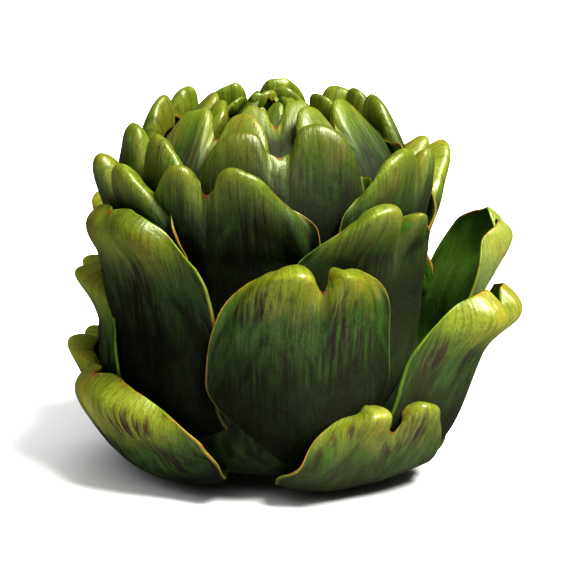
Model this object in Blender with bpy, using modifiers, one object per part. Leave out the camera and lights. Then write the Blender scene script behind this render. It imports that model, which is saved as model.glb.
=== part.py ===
"""A globe artichoke head, trimmed to a short cut stem, standing on that cut.

The head is one grown body: scale-like bracts set in a golden-angle spiral on a fleshy receptacle.
The stem below it is a ribbed stub. Units are metres, +Z is up, and the origin is the centre of the cut
face that the head stands on. Azimuth 0 faces -Y and grows towards +X.
"""

import math
import random
from dataclasses import dataclass

import bmesh
import bpy
import numpy as np

MM = 0.001

# The closed head's outer form: a squarish dome above its widest level and a flattened base below it
HEAD_RADIUS = 49.0 * MM
WIDEST_LEVEL = 48.0 * MM
DOME_HEIGHT = 51.0 * MM
BASE_DEPTH = 47.5 * MM
DOME_SQUARENESS = 0.18
BASE_SQUARENESS = 0.24

# The spiral: bract 0 is the broad one at the front, negative ones lie outside it, and higher ones inside
FIRST_BRACT = -10
LAST_BRACT = 24
TRIMMED_BRACTS = (-5,)
GOLDEN_ANGLE = 137.508
FRONT_AZIMUTH = 12.0

# Polar angles are degrees round the head's middle, from 0 at the stem to 180 at the crown
FRONT_TIP_ANGLE = 110.0
CROWN_TIP_ANGLE = 178.0
TIP_RISE = 3.1
TIP_SLOWING = 0.012
OUTER_DROP = 0.22

# Layers: each bract lies this much deeper for each degree that its tip is further in
LAYER_DEPTH = 0.34 * MM
OUTER_LAYER_DEPTH = 0.07 * MM
NECK_DEPTH = 6.5 * MM
NECK_ANGLE = 14.0
NECK_SPREAD = 24.0
LONGEST_REACH = 76.0
REACH_LOSS = 0.55
ROLL_ALLOWANCE = 4.5
LEAN_ALLOWANCE = 0.8

# Bracts that grew a little off the spiral. Turn, rise, lean and twist are degrees. Width and waist are factors
# on a bract's width and on how much it narrows to its root. Cleft is how far right of its middle the notch is
GROWN_ASTRAY = {
    -10: {"turn": -18.0, "rise": 13.0, "lean": -3.0, "twist": 6.0, "width": 1.2},
    -8: {"turn": 5.0, "rise": 1.0, "lean": -2.0, "cleft": 4.0 * MM},
    -7: {"lean": -5.0},
    -3: {"rise": -7.5, "lean": 11.0},
    -2: {"turn": -20.0, "lean": -8.0},
    0: {"lean": 2.0, "waist": 0.7, "cleft": 4.5 * MM},
    2: {"turn": 5.0, "rise": -14.0, "lean": 11.0, "width": 0.82},
    3: {"turn": -12.0, "rise": -3.0, "lean": 3.0, "waist": 0.8},
    5: {"turn": -4.0, "rise": -1.0, "cleft": 4.0 * MM},
    6: {"turn": 11.0, "rise": 4.0, "lean": 3.0},
    7: {"turn": -18.0},
    8: {"turn": -17.0, "rise": 2.0, "width": 1.08, "cleft": -2.0 * MM},
    10: {"turn": -9.0, "rise": -2.0},
    13: {"turn": -18.0, "rise": 0.5},
    16: {"turn": -6.0},
    18: {"turn": -7.0},
}
GREATEST_LEAN = 12.0
FRONT_LEAN = 4.5
LEAN_FADE = 4.0
CUP_PER_LEAN = 0.015

# One bract: its outline, its thickness and the two rounded lobes at its tip
WIDEST_HALF = 26.0 * MM
NARROWEST_HALF = 10.5 * MM
WIDTH_FALL = 2.2
SHOULDER_DROP = 28.0 * MM
SHOULDER_POWER = 2.3
INNER_SQUARENESS = 5.0
NOTCH_DEPTH = 7.0 * MM
NOTCH_HALF = 2.6 * MM
NARROWING = 0.58
NARROWING_START = 40.0 * MM
NARROWING_LENGTH = 30.0 * MM
BRACT_THICKNESS = 1.4 * MM
PUFF = 2.7 * MM
PUFF_PEAK = 9.0 * MM
PUFF_LENGTH = 28.0 * MM
LOBE_HEIGHT = 3.4 * MM
LOBE_OFFSET = 0.45
LOBE_SPREAD = 0.34
LOBE_START = 9.0 * MM
LOBE_LENGTH = 20.0 * MM
VALLEY_DEPTH = 2.1 * MM
VALLEY_HALF = 3.0 * MM
VALLEY_LENGTH = 18.0 * MM
ROLL_LENGTH = 9.0 * MM
ROLL_ANGLE = math.radians(122.0)
NOTCH_ROLL = 0.75
EDGE_DIP = 0.6 * MM
LARGE_HALF = 21.5 * MM
BLADE_COLUMNS = (-1.0, -0.85, -0.5, -0.18, 0.0, 0.18, 0.5, 0.85, 1.0)
BLADE_ROWS = (0.0, 3.0 * MM, 7.0 * MM, 14.0 * MM, 30.0 * MM, 100.0 * MM)
SMALL_BLADE_COLUMNS = (-1.0, -0.7, -0.2, 0.0, 0.2, 0.7, 1.0)
SMALL_BLADE_ROWS = (0.0, 4.0 * MM, 10.0 * MM, 20.0 * MM, 120.0 * MM)
LOWEST_LEVEL = 0.6 * MM
PRESSED = 0.8 * MM

# The fleshy core: its depth inside the closed head at polar angles, and its flat underside above the stem
CORE_ANGLES = (28.0, 60.0, 110.0, 150.0, 180.0)
CORE_DEPTHS = (4.0 * MM, 5.0 * MM, 7.0 * MM, 6.5 * MM, 8.0 * MM)
UNDERSIDE_RADIUS = 14.5 * MM

# The cut stem
STEM_RADIUS = 12.0 * MM
STEM_HEIGHT = 5.5 * MM
STEM_RIBS = 14
RIB_HEIGHT = 0.7 * MM
GAP = 0.3 * MM

BRACT_GREEN = (0.13, 0.22, 0.05, 1.0)
STEM_GREEN = (0.30, 0.42, 0.16, 1.0)


def smoothstep(x):
    """Rises smoothly from 0 at x = 0 to 1 at x = 1."""
    x = np.clip(x, 0.0, 1.0)
    return x * x * (3.0 - 2.0 * x)


@dataclass
class Bract:
    """One bract's place on the head and its own size, in degrees and metres."""

    number: int
    azimuth: float
    tip_angle: float
    lean: float
    half_width: float
    scale: float
    skew: float
    twist: float
    waist: float
    cleft: float


def spiral_of_bracts():
    """The bracts from the outermost to the innermost, each a golden angle on from the last."""
    draw = random.Random(11)
    bracts = []
    for k in range(FIRST_BRACT, LAST_BRACT + 1):
        skew = draw.uniform(-1.0, 1.0)
        if k in TRIMMED_BRACTS:
            continue
        grown = GROWN_ASTRAY.get(k, {})
        lean = grown.get("lean", 0.0) + min(GREATEST_LEAN, FRONT_LEAN * math.exp(-k / LEAN_FADE))
        tip = FRONT_TIP_ANGLE + TIP_RISE * k - TIP_SLOWING * k * k - OUTER_DROP * min(k, 0) ** 2
        tip += grown.get("rise", 0.0) + LEAN_ALLOWANCE * lean
        inward = max(0.0, (tip - FRONT_TIP_ANGLE) / (CROWN_TIP_ANGLE - FRONT_TIP_ANGLE))
        half = WIDEST_HALF - (WIDEST_HALF - NARROWEST_HALF) * inward**WIDTH_FALL
        bracts.append(
            Bract(
                number=k,
                azimuth=FRONT_AZIMUTH - GOLDEN_ANGLE * k + grown.get("turn", 0.0),
                tip_angle=tip,
                lean=lean,
                half_width=half * grown.get("width", 1.0),
                scale=(half / WIDEST_HALF) ** 0.75,
                skew=skew,
                twist=grown.get("twist", 0.0),
                waist=grown.get("waist", 1.0),
                cleft=grown.get("cleft", 0.0),
            )
        )
    return bracts


def head_profile(angle):
    """(radius, height) of the closed head's surface at polar angles in degrees."""
    a = np.radians(angle)
    upper = angle > 90.0
    height = np.where(upper, DOME_HEIGHT, BASE_DEPTH)
    square = np.where(upper, DOME_SQUARENESS, BASE_SQUARENESS)
    swell = 1.0 + square * np.sin(2.0 * a) ** 2
    return HEAD_RADIUS * swell * np.sin(a), WIDEST_LEVEL - height * swell * np.cos(a)


def layer_profile(angle, depth):
    """(radius, height, outward normal's radius and height parts) of a layer at a depth inside the head."""
    step = 0.05
    r, z = head_profile(angle)
    r1, z1 = head_profile(angle + step)
    r0, z0 = head_profile(angle - step)
    dr, dz = r1 - r0, z1 - z0
    length = np.hypot(dr, dz)
    nr, nz = dz / length, -dr / length
    return r - depth * nr, z - depth * nz, nr, nz


def midrib(tip_angle):
    """(length along it, radius, height, outward normal's parts) of a bract's middle line, root to tip.

    It comes up through the layers to the surface at the tip, and near the stem it dips into the neck.
    """
    reach = min(LONGEST_REACH - REACH_LOSS * max(0.0, tip_angle - FRONT_TIP_ANGLE), tip_angle - NECK_ANGLE)
    angle = np.linspace(tip_angle - reach, tip_angle + ROLL_ALLOWANCE, 60)
    upper = max(tip_angle, FRONT_TIP_ANGLE) - np.maximum(angle, FRONT_TIP_ANGLE)
    lower = min(tip_angle, FRONT_TIP_ANGLE) - np.minimum(angle, FRONT_TIP_ANGLE)
    neck = 1.0 - smoothstep((angle - NECK_ANGLE) / NECK_SPREAD)
    depth = LAYER_DEPTH * upper + OUTER_LAYER_DEPTH * np.maximum(lower, 0.0) + NECK_DEPTH * neck
    r, z, nr, nz = layer_profile(angle, depth)
    along = np.concatenate([[0.0], np.cumsum(np.hypot(np.diff(r), np.diff(z)))])
    return along, r, z, nr, nz


def curled(bract, u):
    """(length rolled inwards at the tip edge, angle that it rolls through, nearness to the notch)."""
    slit = np.exp(-(((u * bract.half_width - bract.cleft) / (NOTCH_HALF * bract.scale)) ** 2))
    fade = 1.0 - smoothstep((np.abs(u) - 0.65) / 0.35)
    return ROLL_LENGTH * bract.scale**0.7, ROLL_ANGLE * (1.0 - NOTCH_ROLL * slit) * fade + 0.01, slit


def outline(bract, u, w, length):
    """(distance across from the midrib, distance below the tip, depth of the tip edge there) of points."""
    size = bract.scale
    across = u * bract.half_width
    power = SHOULDER_POWER + INNER_SQUARENESS * (1.0 - size)
    arch = 1.0 - (1.0 - np.abs(u) ** power) ** (1.0 / power)
    roll, curl, slit = curled(bract, u)
    taken_up = roll * (1.0 - np.sin(np.minimum(curl, 0.5 * math.pi)) / curl)
    edge = min(SHOULDER_DROP * size, 0.8 * length) * arch
    edge = edge + roll * (1.0 - 1.0 / ROLL_ANGLE) - taken_up + NOTCH_DEPTH * size**0.8 * slit
    below = edge + w * (1.0 - edge / length)
    narrow = NARROWING * bract.waist * smoothstep((below / size - NARROWING_START) / NARROWING_LENGTH)
    return across * (1.0 - narrow) + math.tan(math.radians(bract.twist)) * below, below, edge


def relief(bract, u, below, edge, inset):
    """(height over the bract's layer, distance below the tip) once its tip is puffed, lobed and rolled in."""
    size, plump = bract.scale, bract.scale**0.6
    roll, curl, _ = curled(bract, u)
    bend = roll / curl
    turned = np.clip(roll - (below - edge), 0.0, roll) / bend
    inward = bend - (bend - inset) * np.cos(turned)
    deep = below / size
    rise = smoothstep((PUFF_LENGTH - deep) / (PUFF_LENGTH - PUFF_PEAK))
    puff = PUFF * plump * rise * (1.0 - np.abs(u) ** 3) * (1.0 + 0.2 * bract.skew * u)
    from_cleft = np.abs(u * bract.half_width - bract.cleft)
    along = 1.0 - smoothstep((deep - LOBE_START) / LOBE_LENGTH)
    lobes = LOBE_HEIGHT * plump * along
    lobes = lobes * np.exp(-(((from_cleft / bract.half_width - LOBE_OFFSET) / LOBE_SPREAD) ** 2))
    fade = smoothstep(1.2 * (VALLEY_LENGTH - deep) / VALLEY_LENGTH)
    valley = VALLEY_DEPTH * plump * np.exp(-from_cleft / (VALLEY_HALF * plump)) * fade
    height = puff + lobes - valley - EDGE_DIP * size * u**4 - inward
    return height, below + bend * turned - (bend - inset) * np.sin(turned)


def above_table(z):
    """The heights, with those near or under the table raised smoothly, as a soft bract flattens there."""
    return LOWEST_LEVEL + PRESSED * np.logaddexp(0.0, (z - LOWEST_LEVEL) / PRESSED)


def bract_points(bract, u, w, inset):
    """World points of a bract, inset from its outer face.

    u runs across it from -1 to 1, and w is the way down from its tip edge. Each row lies on a circle about
    the head's own, so the bract wraps it, and a leaning bract is more deeply cupped.
    """
    along, r, z, nr, nz = midrib(bract.tip_angle)
    length = along[-1]
    across, below, edge = outline(bract, u, np.minimum(w, length), length)
    height, below = relief(bract, u, below, edge, inset)
    s = length - below
    rr, zz = np.interp(s, along, r), np.interp(s, along, z)
    nrr, nzz = np.interp(s, along, nr), np.interp(s, along, nz)

    # Bent across
    round_radius = (1.0 - CUP_PER_LEAN * bract.lean) * rr / np.maximum(nrr, 0.2)
    round_radius = np.maximum(round_radius, 1.05 * bract.half_width)
    aside = round_radius * np.sin(across / round_radius)
    out = height - round_radius * (1.0 - np.cos(across / round_radius))
    rr, zz = rr + out * nrr, zz + out * nzz

    # Leaned outwards about the root, kept off the table, then turned to its azimuth
    lean = math.radians(bract.lean)
    dr, dz = rr - r[0], zz - z[0]
    rr = r[0] + dr * math.cos(lean) + dz * math.sin(lean)
    zz = above_table(z[0] - dr * math.sin(lean) + dz * math.cos(lean))
    a = math.radians(bract.azimuth)
    x, y = rr * math.sin(a) + aside * math.cos(a), aside * math.sin(a) - rr * math.cos(a)
    return np.stack([x, y, zz], axis=-1)


def material(name, colour, roughness):
    """A Principled material of one plain colour."""
    made = bpy.data.materials.new(name)
    made.use_nodes = True
    shader = made.node_tree.nodes["Principled BSDF"]
    shader.inputs["Base Color"].default_value = colour
    shader.inputs["Roughness"].default_value = roughness
    shader.inputs["Metallic"].default_value = 0.0
    return made


def add_object(name, mesh, collection):
    """A new object that shows the mesh, in the collection."""
    made = bpy.data.objects.new(name, mesh)
    collection.objects.link(made)
    return made


def bract_object(bract, collection):
    """One bract as a closed blade: a flat slab of unit thickness, bent and thinned into shape."""
    large = bract.half_width > LARGE_HALF
    columns, rows = (BLADE_COLUMNS, BLADE_ROWS) if large else (SMALL_BLADE_COLUMNS, SMALL_BLADE_ROWS)
    bm = bmesh.new()
    bmesh.ops.create_grid(bm, x_segments=len(columns) - 1, y_segments=len(rows) - 1, size=1.0)
    bmesh.ops.triangulate(bm, faces=bm.faces[:], quad_method="FIXED")
    bmesh.ops.solidify(bm, geom=bm.faces[:], thickness=1.0)
    slab = np.array([vert.co[:] for vert in bm.verts])
    u = np.interp(slab[:, 0], np.linspace(-1.0, 1.0, len(columns)), columns)
    u = u + bract.cleft / bract.half_width * (1.0 - u**2)
    w = np.interp(-slab[:, 1], np.linspace(-1.0, 1.0, len(rows)), rows) * bract.scale
    inset = np.abs(slab[:, 2]) * BRACT_THICKNESS * (0.6 + 0.4 * bract.scale)
    for vert, point in zip(bm.verts, bract_points(bract, u, w, inset)):
        vert.co = point
    mesh = bpy.data.meshes.new(f"bract_{bract.number:+d}")
    bm.to_mesh(mesh)
    bm.free()
    return add_object(mesh.name, mesh, collection)


def receptacle_object(collection):
    """The fleshy core that the bracts grow from, a turned body a little inside the closed head."""
    angle = np.linspace(180.0, CORE_ANGLES[0], 13)
    r, z, _, _ = layer_profile(angle, np.interp(angle, CORE_ANGLES, CORE_DEPTHS))
    underside = STEM_HEIGHT + GAP
    profile = [(0.0, z[0])] + list(zip(r[1:], z[1:])) + [(UNDERSIDE_RADIUS, underside), (0.0, underside)]
    mesh = bpy.data.meshes.new("receptacle")
    mesh.from_pydata([(x, 0.0, y) for x, y in profile], [(i, i + 1) for i in range(len(profile) - 1)], [])
    core = add_object("head", mesh, collection)
    screw = core.modifiers.new("turned", "SCREW")
    screw.steps = screw.render_steps = 28
    screw.use_merge_vertices = True
    screw.merge_threshold = 0.0001
    return core


def applied(obj):
    """Replaces the object's mesh with its evaluated one, and clears its modifiers."""
    graph = bpy.context.evaluated_depsgraph_get()
    mesh = bpy.data.meshes.new_from_object(obj.evaluated_get(graph))
    obj.modifiers.clear()
    obj.data = mesh
    return obj


def keep_outer_shell(mesh):
    """Keeps the largest closed shell: fills hollows that the fusing sealed, and drops loose scraps."""
    bm = bmesh.new()
    bm.from_mesh(mesh)
    unseen = set(bm.faces)
    shells = []
    while unseen:
        shell, front = [], [unseen.pop()]
        while front:
            face = front.pop()
            shell.append(face)
            near = {other for edge in face.edges if edge.is_manifold for other in edge.link_faces} & unseen
            unseen -= near
            front.extend(near)
        shells.append(shell)
    shells.sort(key=len)
    bmesh.ops.delete(bm, geom=[face for shell in shells[:-1] for face in shell], context="FACES")
    bm.to_mesh(mesh)
    bm.free()


def make_head(collection):
    """The receptacle and all its bracts, fused into one body."""
    blades = bpy.data.collections.new("bract_blades")
    blades.hide_render = True
    bpy.context.scene.collection.children.link(blades)
    for bract in spiral_of_bracts():
        bract_object(bract, blades)
    head = applied(receptacle_object(collection))
    union = head.modifiers.new("fused", "BOOLEAN")
    union.operation = "UNION"
    union.operand_type = "COLLECTION"
    union.collection = blades
    union.solver = "MANIFOLD"
    applied(head)
    for blade in list(blades.objects):
        bpy.data.objects.remove(blade)
    bpy.data.collections.remove(blades)
    keep_outer_shell(head.data)
    head.data.materials.clear()
    head.data.materials.append(material("bract_green", BRACT_GREEN, 0.45))
    return head


def make_stem(collection):
    """The ribbed stub below the head, cut flat across at the bottom."""
    bm = bmesh.new()
    sides = 6 * STEM_RIBS
    bmesh.ops.create_cone(
        bm, cap_ends=True, segments=sides, radius1=STEM_RADIUS, radius2=STEM_RADIUS, depth=STEM_HEIGHT
    )
    for vert in bm.verts:
        turn = math.atan2(vert.co.y, vert.co.x)
        rib = 1.0 + RIB_HEIGHT / STEM_RADIUS * math.cos(STEM_RIBS * turn)
        vert.co.x *= rib
        vert.co.y *= rib
        vert.co.z += STEM_HEIGHT / 2.0
    mesh = bpy.data.meshes.new("stem")
    bm.to_mesh(mesh)
    bm.free()
    stem = add_object("stem", mesh, collection)
    mesh.materials.append(material("stem_green", STEM_GREEN, 0.6))
    return stem


def main():
    """Clears the scene and builds the artichoke."""
    for old in list(bpy.data.objects):
        bpy.data.objects.remove(old)
    collection = bpy.data.collections.new("artichoke")
    bpy.context.scene.collection.children.link(collection)
    for made in (make_head(collection), make_stem(collection)):
        made.data.shade_smooth()
        made.data.set_sharp_from_angle(angle=math.radians(50.0))


main()
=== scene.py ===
"""The looks of a whole globe artichoke: notched bracts in a spiral on a fleshy receptacle, and a cut stem.

Every bract is a closed surface on a grid of two parameters: how far across it a point lies, and how far below
its tip edge. Bracts are laid from the innermost to the outermost, and each is pushed out over those inside it.
Lengths are metres, the crown points up +Z, and azimuth 0 faces -Y and grows towards +X.
"""

from __future__ import annotations

import logging
import math
from dataclasses import dataclass, field
from enum import Enum

import bpy
import numpy as np
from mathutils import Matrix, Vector

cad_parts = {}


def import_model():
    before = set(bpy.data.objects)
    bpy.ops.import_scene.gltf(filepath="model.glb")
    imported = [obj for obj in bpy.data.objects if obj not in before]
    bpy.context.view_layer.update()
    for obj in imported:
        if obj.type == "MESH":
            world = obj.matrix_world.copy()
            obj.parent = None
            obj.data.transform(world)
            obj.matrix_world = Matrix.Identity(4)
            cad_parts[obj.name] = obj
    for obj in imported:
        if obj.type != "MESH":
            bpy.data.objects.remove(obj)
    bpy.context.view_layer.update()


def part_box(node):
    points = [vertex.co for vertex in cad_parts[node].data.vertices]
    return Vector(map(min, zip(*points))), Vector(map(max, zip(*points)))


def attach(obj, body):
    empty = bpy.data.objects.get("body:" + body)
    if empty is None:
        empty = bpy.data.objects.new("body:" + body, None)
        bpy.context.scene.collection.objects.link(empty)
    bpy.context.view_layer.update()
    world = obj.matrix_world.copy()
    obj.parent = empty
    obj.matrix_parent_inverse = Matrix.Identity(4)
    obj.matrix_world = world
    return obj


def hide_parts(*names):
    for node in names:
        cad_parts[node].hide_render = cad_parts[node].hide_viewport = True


MM = 0.001
STEM_RADIUS = 12.0 * MM
LOG = logging.getLogger("artichoke")

Array = np.ndarray
Colour = tuple[float, float, float]
Socket = bpy.types.NodeSocket


def smoothstep(x: Array | float, low: float = 0.0, high: float = 1.0) -> Array:
    """Rises smoothly from 0 at low to 1 at high, by 3t^2 - 2t^3."""
    t = np.clip((x - low) / (high - low), 0.0, 1.0)
    return t * t * (3.0 - 2.0 * t)


def hump(x: Array, middle: float, spread: float) -> Array:
    """A bell curve of height 1: e to the minus ((x - middle) / spread) squared."""
    return np.exp(-(((x - middle) / spread) ** 2))


def linear(red: int, green: int, blue: int) -> Colour:
    """Turns a screen colour of 0 to 255 into the linear values that a shader takes.

    Args:
        red: The screen value of red.
        green: The screen value of green.
        blue: The screen value of blue.

    Returns:
        The linear red, green and blue.
    """
    screen = np.array([red, green, blue]) / 255.0
    values = np.where(screen <= 0.04045, screen / 12.92, ((screen + 0.055) / 1.055) ** 2.4)
    return tuple(float(value) for value in values)


def blurred(values: Array, reach: int) -> Array:
    """Blurs a grid along both its axes with a bell curve.

    Args:
        values: The grid.
        reach: The bell's width, in cells.

    Returns:
        The blurred grid.
    """
    taps = np.arange(-2 * reach, 2 * reach + 1)
    bell = np.exp(-((taps / reach) ** 2))
    bell /= bell.sum()
    for axis in (0, 1):
        pad = [(0, 0), (0, 0)]
        pad[axis] = (2 * reach, 2 * reach)
        wide = np.pad(values, pad, mode="edge")
        size = values.shape[axis]
        values = sum(b * np.take(wide, range(k, k + size), axis=axis) for k, b in enumerate(bell))
    return values


def new_mesh_object(name: str, points: Array, faces: list | Array) -> bpy.types.Object:
    """Makes an object at the origin from points and faces, shaded smooth.

    Args:
        name: The object's name.
        points: Its vertices, one to a row.
        faces: The vertex numbers of each face.

    Returns:
        The new object.
    """
    mesh = bpy.data.meshes.new(name)
    mesh.from_pydata(points.tolist(), [], [list(face) for face in faces])
    mesh.shade_smooth()
    made = bpy.data.objects.new(name, mesh)
    bpy.context.scene.collection.objects.link(made)
    return made


def add_attribute(made: bpy.types.Object, name: str, values: Array) -> None:
    """Stores a number or a vector at each vertex, for the materials to read.

    Args:
        made: The object.
        name: The attribute's name.
        values: One number, or one row of three, for each vertex.
    """
    kind, field_name = ("FLOAT", "value") if values.ndim == 1 else ("FLOAT_VECTOR", "vector")
    attribute = made.data.attributes.new(name, kind, "POINT")
    attribute.data.foreach_set(field_name, values.astype(np.float32).ravel())


@dataclass(frozen=True)
class HeadForm:
    """The closed head's outer form, and the layers inside it that the bracts follow."""

    radius: float = 49.0 * MM
    widest_level: float = 48.0 * MM
    dome_height: float = 51.0 * MM
    base_depth: float = 47.5 * MM
    dome_squareness: float = 0.18
    base_squareness: float = 0.24
    front_tip_angle: float = 110.0
    crown_tip_angle: float = 178.0
    layer_depth: float = 0.34 * MM
    outer_layer_depth: float = 0.07 * MM
    neck_depth: float = 6.5 * MM
    neck_angle: float = 14.0
    neck_spread: float = 24.0
    longest_reach: float = 76.0
    reach_loss: float = 0.55
    roll_allowance: float = 6.5
    midrib_points: int = 120

    def profile(self, angle: Array) -> tuple[Array, Array]:
        """Traces the outline, an ellipse swollen at its shoulders by squareness times sin(2 angle) squared.

        Args:
            angle: Polar angles in degrees, from 0 at the stem to 180 at the crown.

        Returns:
            The radius and the height at each angle.
        """
        a = np.radians(angle)
        upper = angle > 90.0
        height = np.where(upper, self.dome_height, self.base_depth)
        square = np.where(upper, self.dome_squareness, self.base_squareness)
        swell = 1.0 + square * np.sin(2.0 * a) ** 2
        return self.radius * swell * np.sin(a), self.widest_level - height * swell * np.cos(a)

    def layer(self, angle: Array, depth: Array | float) -> tuple[Array, Array, Array, Array]:
        """Traces a line that lies some depth inside the outline, measured square to it.

        Args:
            angle: Polar angles in degrees.
            depth: How deep the line lies.

        Returns:
            The radius, the height, and the outward normal's radius and height parts.
        """
        step = 0.05
        r, z = self.profile(angle)
        r1, z1 = self.profile(angle + step)
        r0, z0 = self.profile(angle - step)
        length = np.hypot(r1 - r0, z1 - z0)
        nr, nz = (z1 - z0) / length, -(r1 - r0) / length
        return r - depth * nr, z - depth * nz, nr, nz

    def midrib(self, tip_angle: float) -> tuple[Array, Array, Array, Array, Array]:
        """Traces a bract's middle line, which comes up through the layers to the surface at its tip.

        Args:
            tip_angle: The polar angle of the tip.

        Returns:
            The length from the root, the radius, the height, and the outward normal's two parts.
        """
        reach = min(
            self.longest_reach - self.reach_loss * max(0.0, tip_angle - self.front_tip_angle),
            tip_angle - self.neck_angle,
        )
        angle = np.linspace(tip_angle - reach, tip_angle + self.roll_allowance, self.midrib_points)
        front = self.front_tip_angle
        upper = max(tip_angle, front) - np.maximum(angle, front)
        lower = min(tip_angle, front) - np.minimum(angle, front)
        neck = 1.0 - smoothstep(angle, self.neck_angle, self.neck_angle + self.neck_spread)
        depth = self.layer_depth * upper + self.outer_layer_depth * np.maximum(lower, 0.0)
        depth = depth + self.neck_depth * neck
        r, z, nr, nz = self.layer(angle, depth)
        along = np.concatenate([[0.0], np.cumsum(np.hypot(np.diff(r), np.diff(z)))])
        return along, r, z, nr, nz


@dataclass(frozen=True)
class Nudge:
    """How a bract grew off the spiral.

    Turn, rise, lean and twist are degrees, notch, roll, lobes and width are factors, gap widens the notch from
    a slit at 0 to a broad dip at 1, waist is how much it narrows below, cleft is how far right of the middle the
    notch is, flare lifts the left margin, and shade below 0 darkens its skin as painted shade, while above 0 it
    mixes in a pale sage that is partly the skin's own tone and partly painted light.
    """

    turn: float = 0.0
    rise: float = 0.0
    lean: float = 0.0
    twist: float = 0.0
    notch: float = 1.0
    gap: float = 0.2
    roll: float = 1.0
    lobes: float = 1.0
    width: float = 1.0
    waist: float = 1.0
    cleft: float = 0.0
    flare: float = 0.0
    shade: float = 0.0


@dataclass(frozen=True)
class BractPlace:
    """One bract's place in the spiral and its own size."""

    number: int
    azimuth: float
    tip_angle: float
    lean: float
    half_width: float
    size: float
    level: float
    growth: Nudge


@dataclass(frozen=True)
class Spiral:
    """The rule that sets the bracts: each is a golden angle on from the last, and a little nearer the crown."""

    form: HeadForm
    first: int = -10
    last: int = 26
    trimmed: tuple[int, ...] = (-5,)
    golden_angle: float = 137.508
    front_azimuth: float = 12.0
    tip_rise: float = 3.1
    tip_slowing: float = 0.012
    outer_drop: float = 0.22
    greatest_lean: float = 12.0
    front_lean: float = 4.5
    lean_fade: float = 4.0
    lean_allowance: float = 0.8
    widest_half: float = 26.0 * MM
    narrowest_half: float = 10.5 * MM
    width_fall: float = 2.2
    size_power: float = 0.75
    nudges: dict[int, Nudge] = field(
        default_factory=lambda: {
            -10: Nudge(-12.0, 13.0, -3.0, twist=6.0, notch=0.1, roll=0.5, lobes=0.3, width=1.25, shade=0.1),
            -8: Nudge(5.0, 2.5, -2.0, notch=1.3, cleft=0.5 * MM, flare=4.0 * MM, shade=0.3),
            -7: Nudge(0.0, 0.0, -5.0),
            -3: Nudge(-1.0, -7.0, 12.0, gap=0.1, roll=0.6, lobes=0.55, width=0.95),
            -2: Nudge(-20.0, 0.0, -8.0),
            0: Nudge(-2.0, 0.5, 2.0, notch=1.25, gap=0.22, cleft=4.5 * MM),
            2: Nudge(5.0, -15.0, 13.0, roll=0.5, lobes=0.45, width=0.85, shade=0.2),
            3: Nudge(-12.0, -3.0, 3.0, notch=0.3, roll=0.4, lobes=0.35, waist=0.0, shade=-0.65),
            5: Nudge(-5.5, -1.0, 0.0, gap=0.3, notch=1.4, cleft=5.5 * MM),
            6: Nudge(29.0, 4.0, 3.0, lobes=0.8),
            7: Nudge(-18.0, 0.0, 0.0),
            8: Nudge(-9.5, 2.0, 0.0, gap=0.2, notch=1.0, width=1.08, cleft=-4.5 * MM, shade=-0.3),
            10: Nudge(-19.5, -2.5, 0.0, width=1.02, cleft=4.0 * MM),
            13: Nudge(-21.5, -0.5, 0.0, gap=0.85, notch=0.75, width=1.15, shade=-0.5),
            16: Nudge(-6.0, 0.0, 0.0),
            18: Nudge(-7.0, 0.0, 0.0),
        }
    )

    def place(self, number: int) -> BractPlace:
        """Works out where one bract stands and how big it is."""
        nudge = self.nudges.get(number, Nudge())
        lean = nudge.lean + min(self.greatest_lean, self.front_lean * math.exp(-number / self.lean_fade))
        tip = self.form.front_tip_angle + self.tip_rise * number - self.tip_slowing * number**2
        tip += nudge.rise + self.lean_allowance * lean - self.outer_drop * min(number, 0) ** 2
        span = self.form.crown_tip_angle - self.form.front_tip_angle
        inward = max(0.0, (tip - self.form.front_tip_angle) / span)
        half = self.widest_half - (self.widest_half - self.narrowest_half) * inward**self.width_fall
        return BractPlace(
            number=number,
            azimuth=self.front_azimuth - self.golden_angle * number + nudge.turn,
            tip_angle=tip,
            lean=lean,
            half_width=half * nudge.width,
            size=(half / self.widest_half) ** self.size_power,
            level=(number - self.first) / (self.last - self.first),
            growth=nudge,
        )

    def places(self) -> list[BractPlace]:
        """Lists the bracts from the innermost to the outermost."""
        numbers = range(self.last, self.first - 1, -1)
        return [self.place(number) for number in numbers if number not in self.trimmed]


@dataclass
class Crowding:
    """How far the bracts laid so far stand out from the head's middle, in each direction."""

    middle: float
    cell: float = 1.5
    reach: Array = field(init=False)

    def __post_init__(self) -> None:
        """Starts with nothing laid."""
        self.reach = np.zeros((round(360.0 / self.cell), round(180.0 / self.cell)))

    def _seen(self, points: Array) -> tuple[Array, Array, Array]:
        """Gives each point's azimuth cell, polar cell and distance from the middle."""
        offset = points - np.array([0.0, 0.0, self.middle])
        distance = np.linalg.norm(offset, axis=-1)
        azimuth = np.degrees(np.arctan2(offset[..., 0], -offset[..., 1])) % 360.0
        polar = np.degrees(np.arccos(np.clip(-offset[..., 2] / distance, -1.0, 1.0)))
        columns, rows = self.reach.shape
        column = (azimuth / self.cell).astype(int) % columns
        row = np.minimum(polar / self.cell, rows - 1).astype(int)
        return column, row, distance

    def add(self, points: Array) -> None:
        """Takes in a laid bract's points, so that later ones stay outside it."""
        column, row, distance = self._seen(points)
        np.maximum.at(self.reach, (column.ravel(), row.ravel()), distance.ravel())

    def shortfall(self, points: Array, clearance: float) -> Array:
        """Measures how much further out each point of a bract's inner face has to be.

        Args:
            points: The inner face's points on their grid.
            clearance: The air to leave over what lies inside.

        Returns:
            The distance that each point lacks, 0 where it has enough.
        """
        wide = self.reach
        for axis in (0, 1):
            wide = np.maximum(wide, np.maximum(np.roll(wide, 1, axis), np.roll(wide, -1, axis)))
        column, row, distance = self._seen(points)
        return np.maximum(wide[column, row] + clearance - distance, 0.0)


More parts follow.
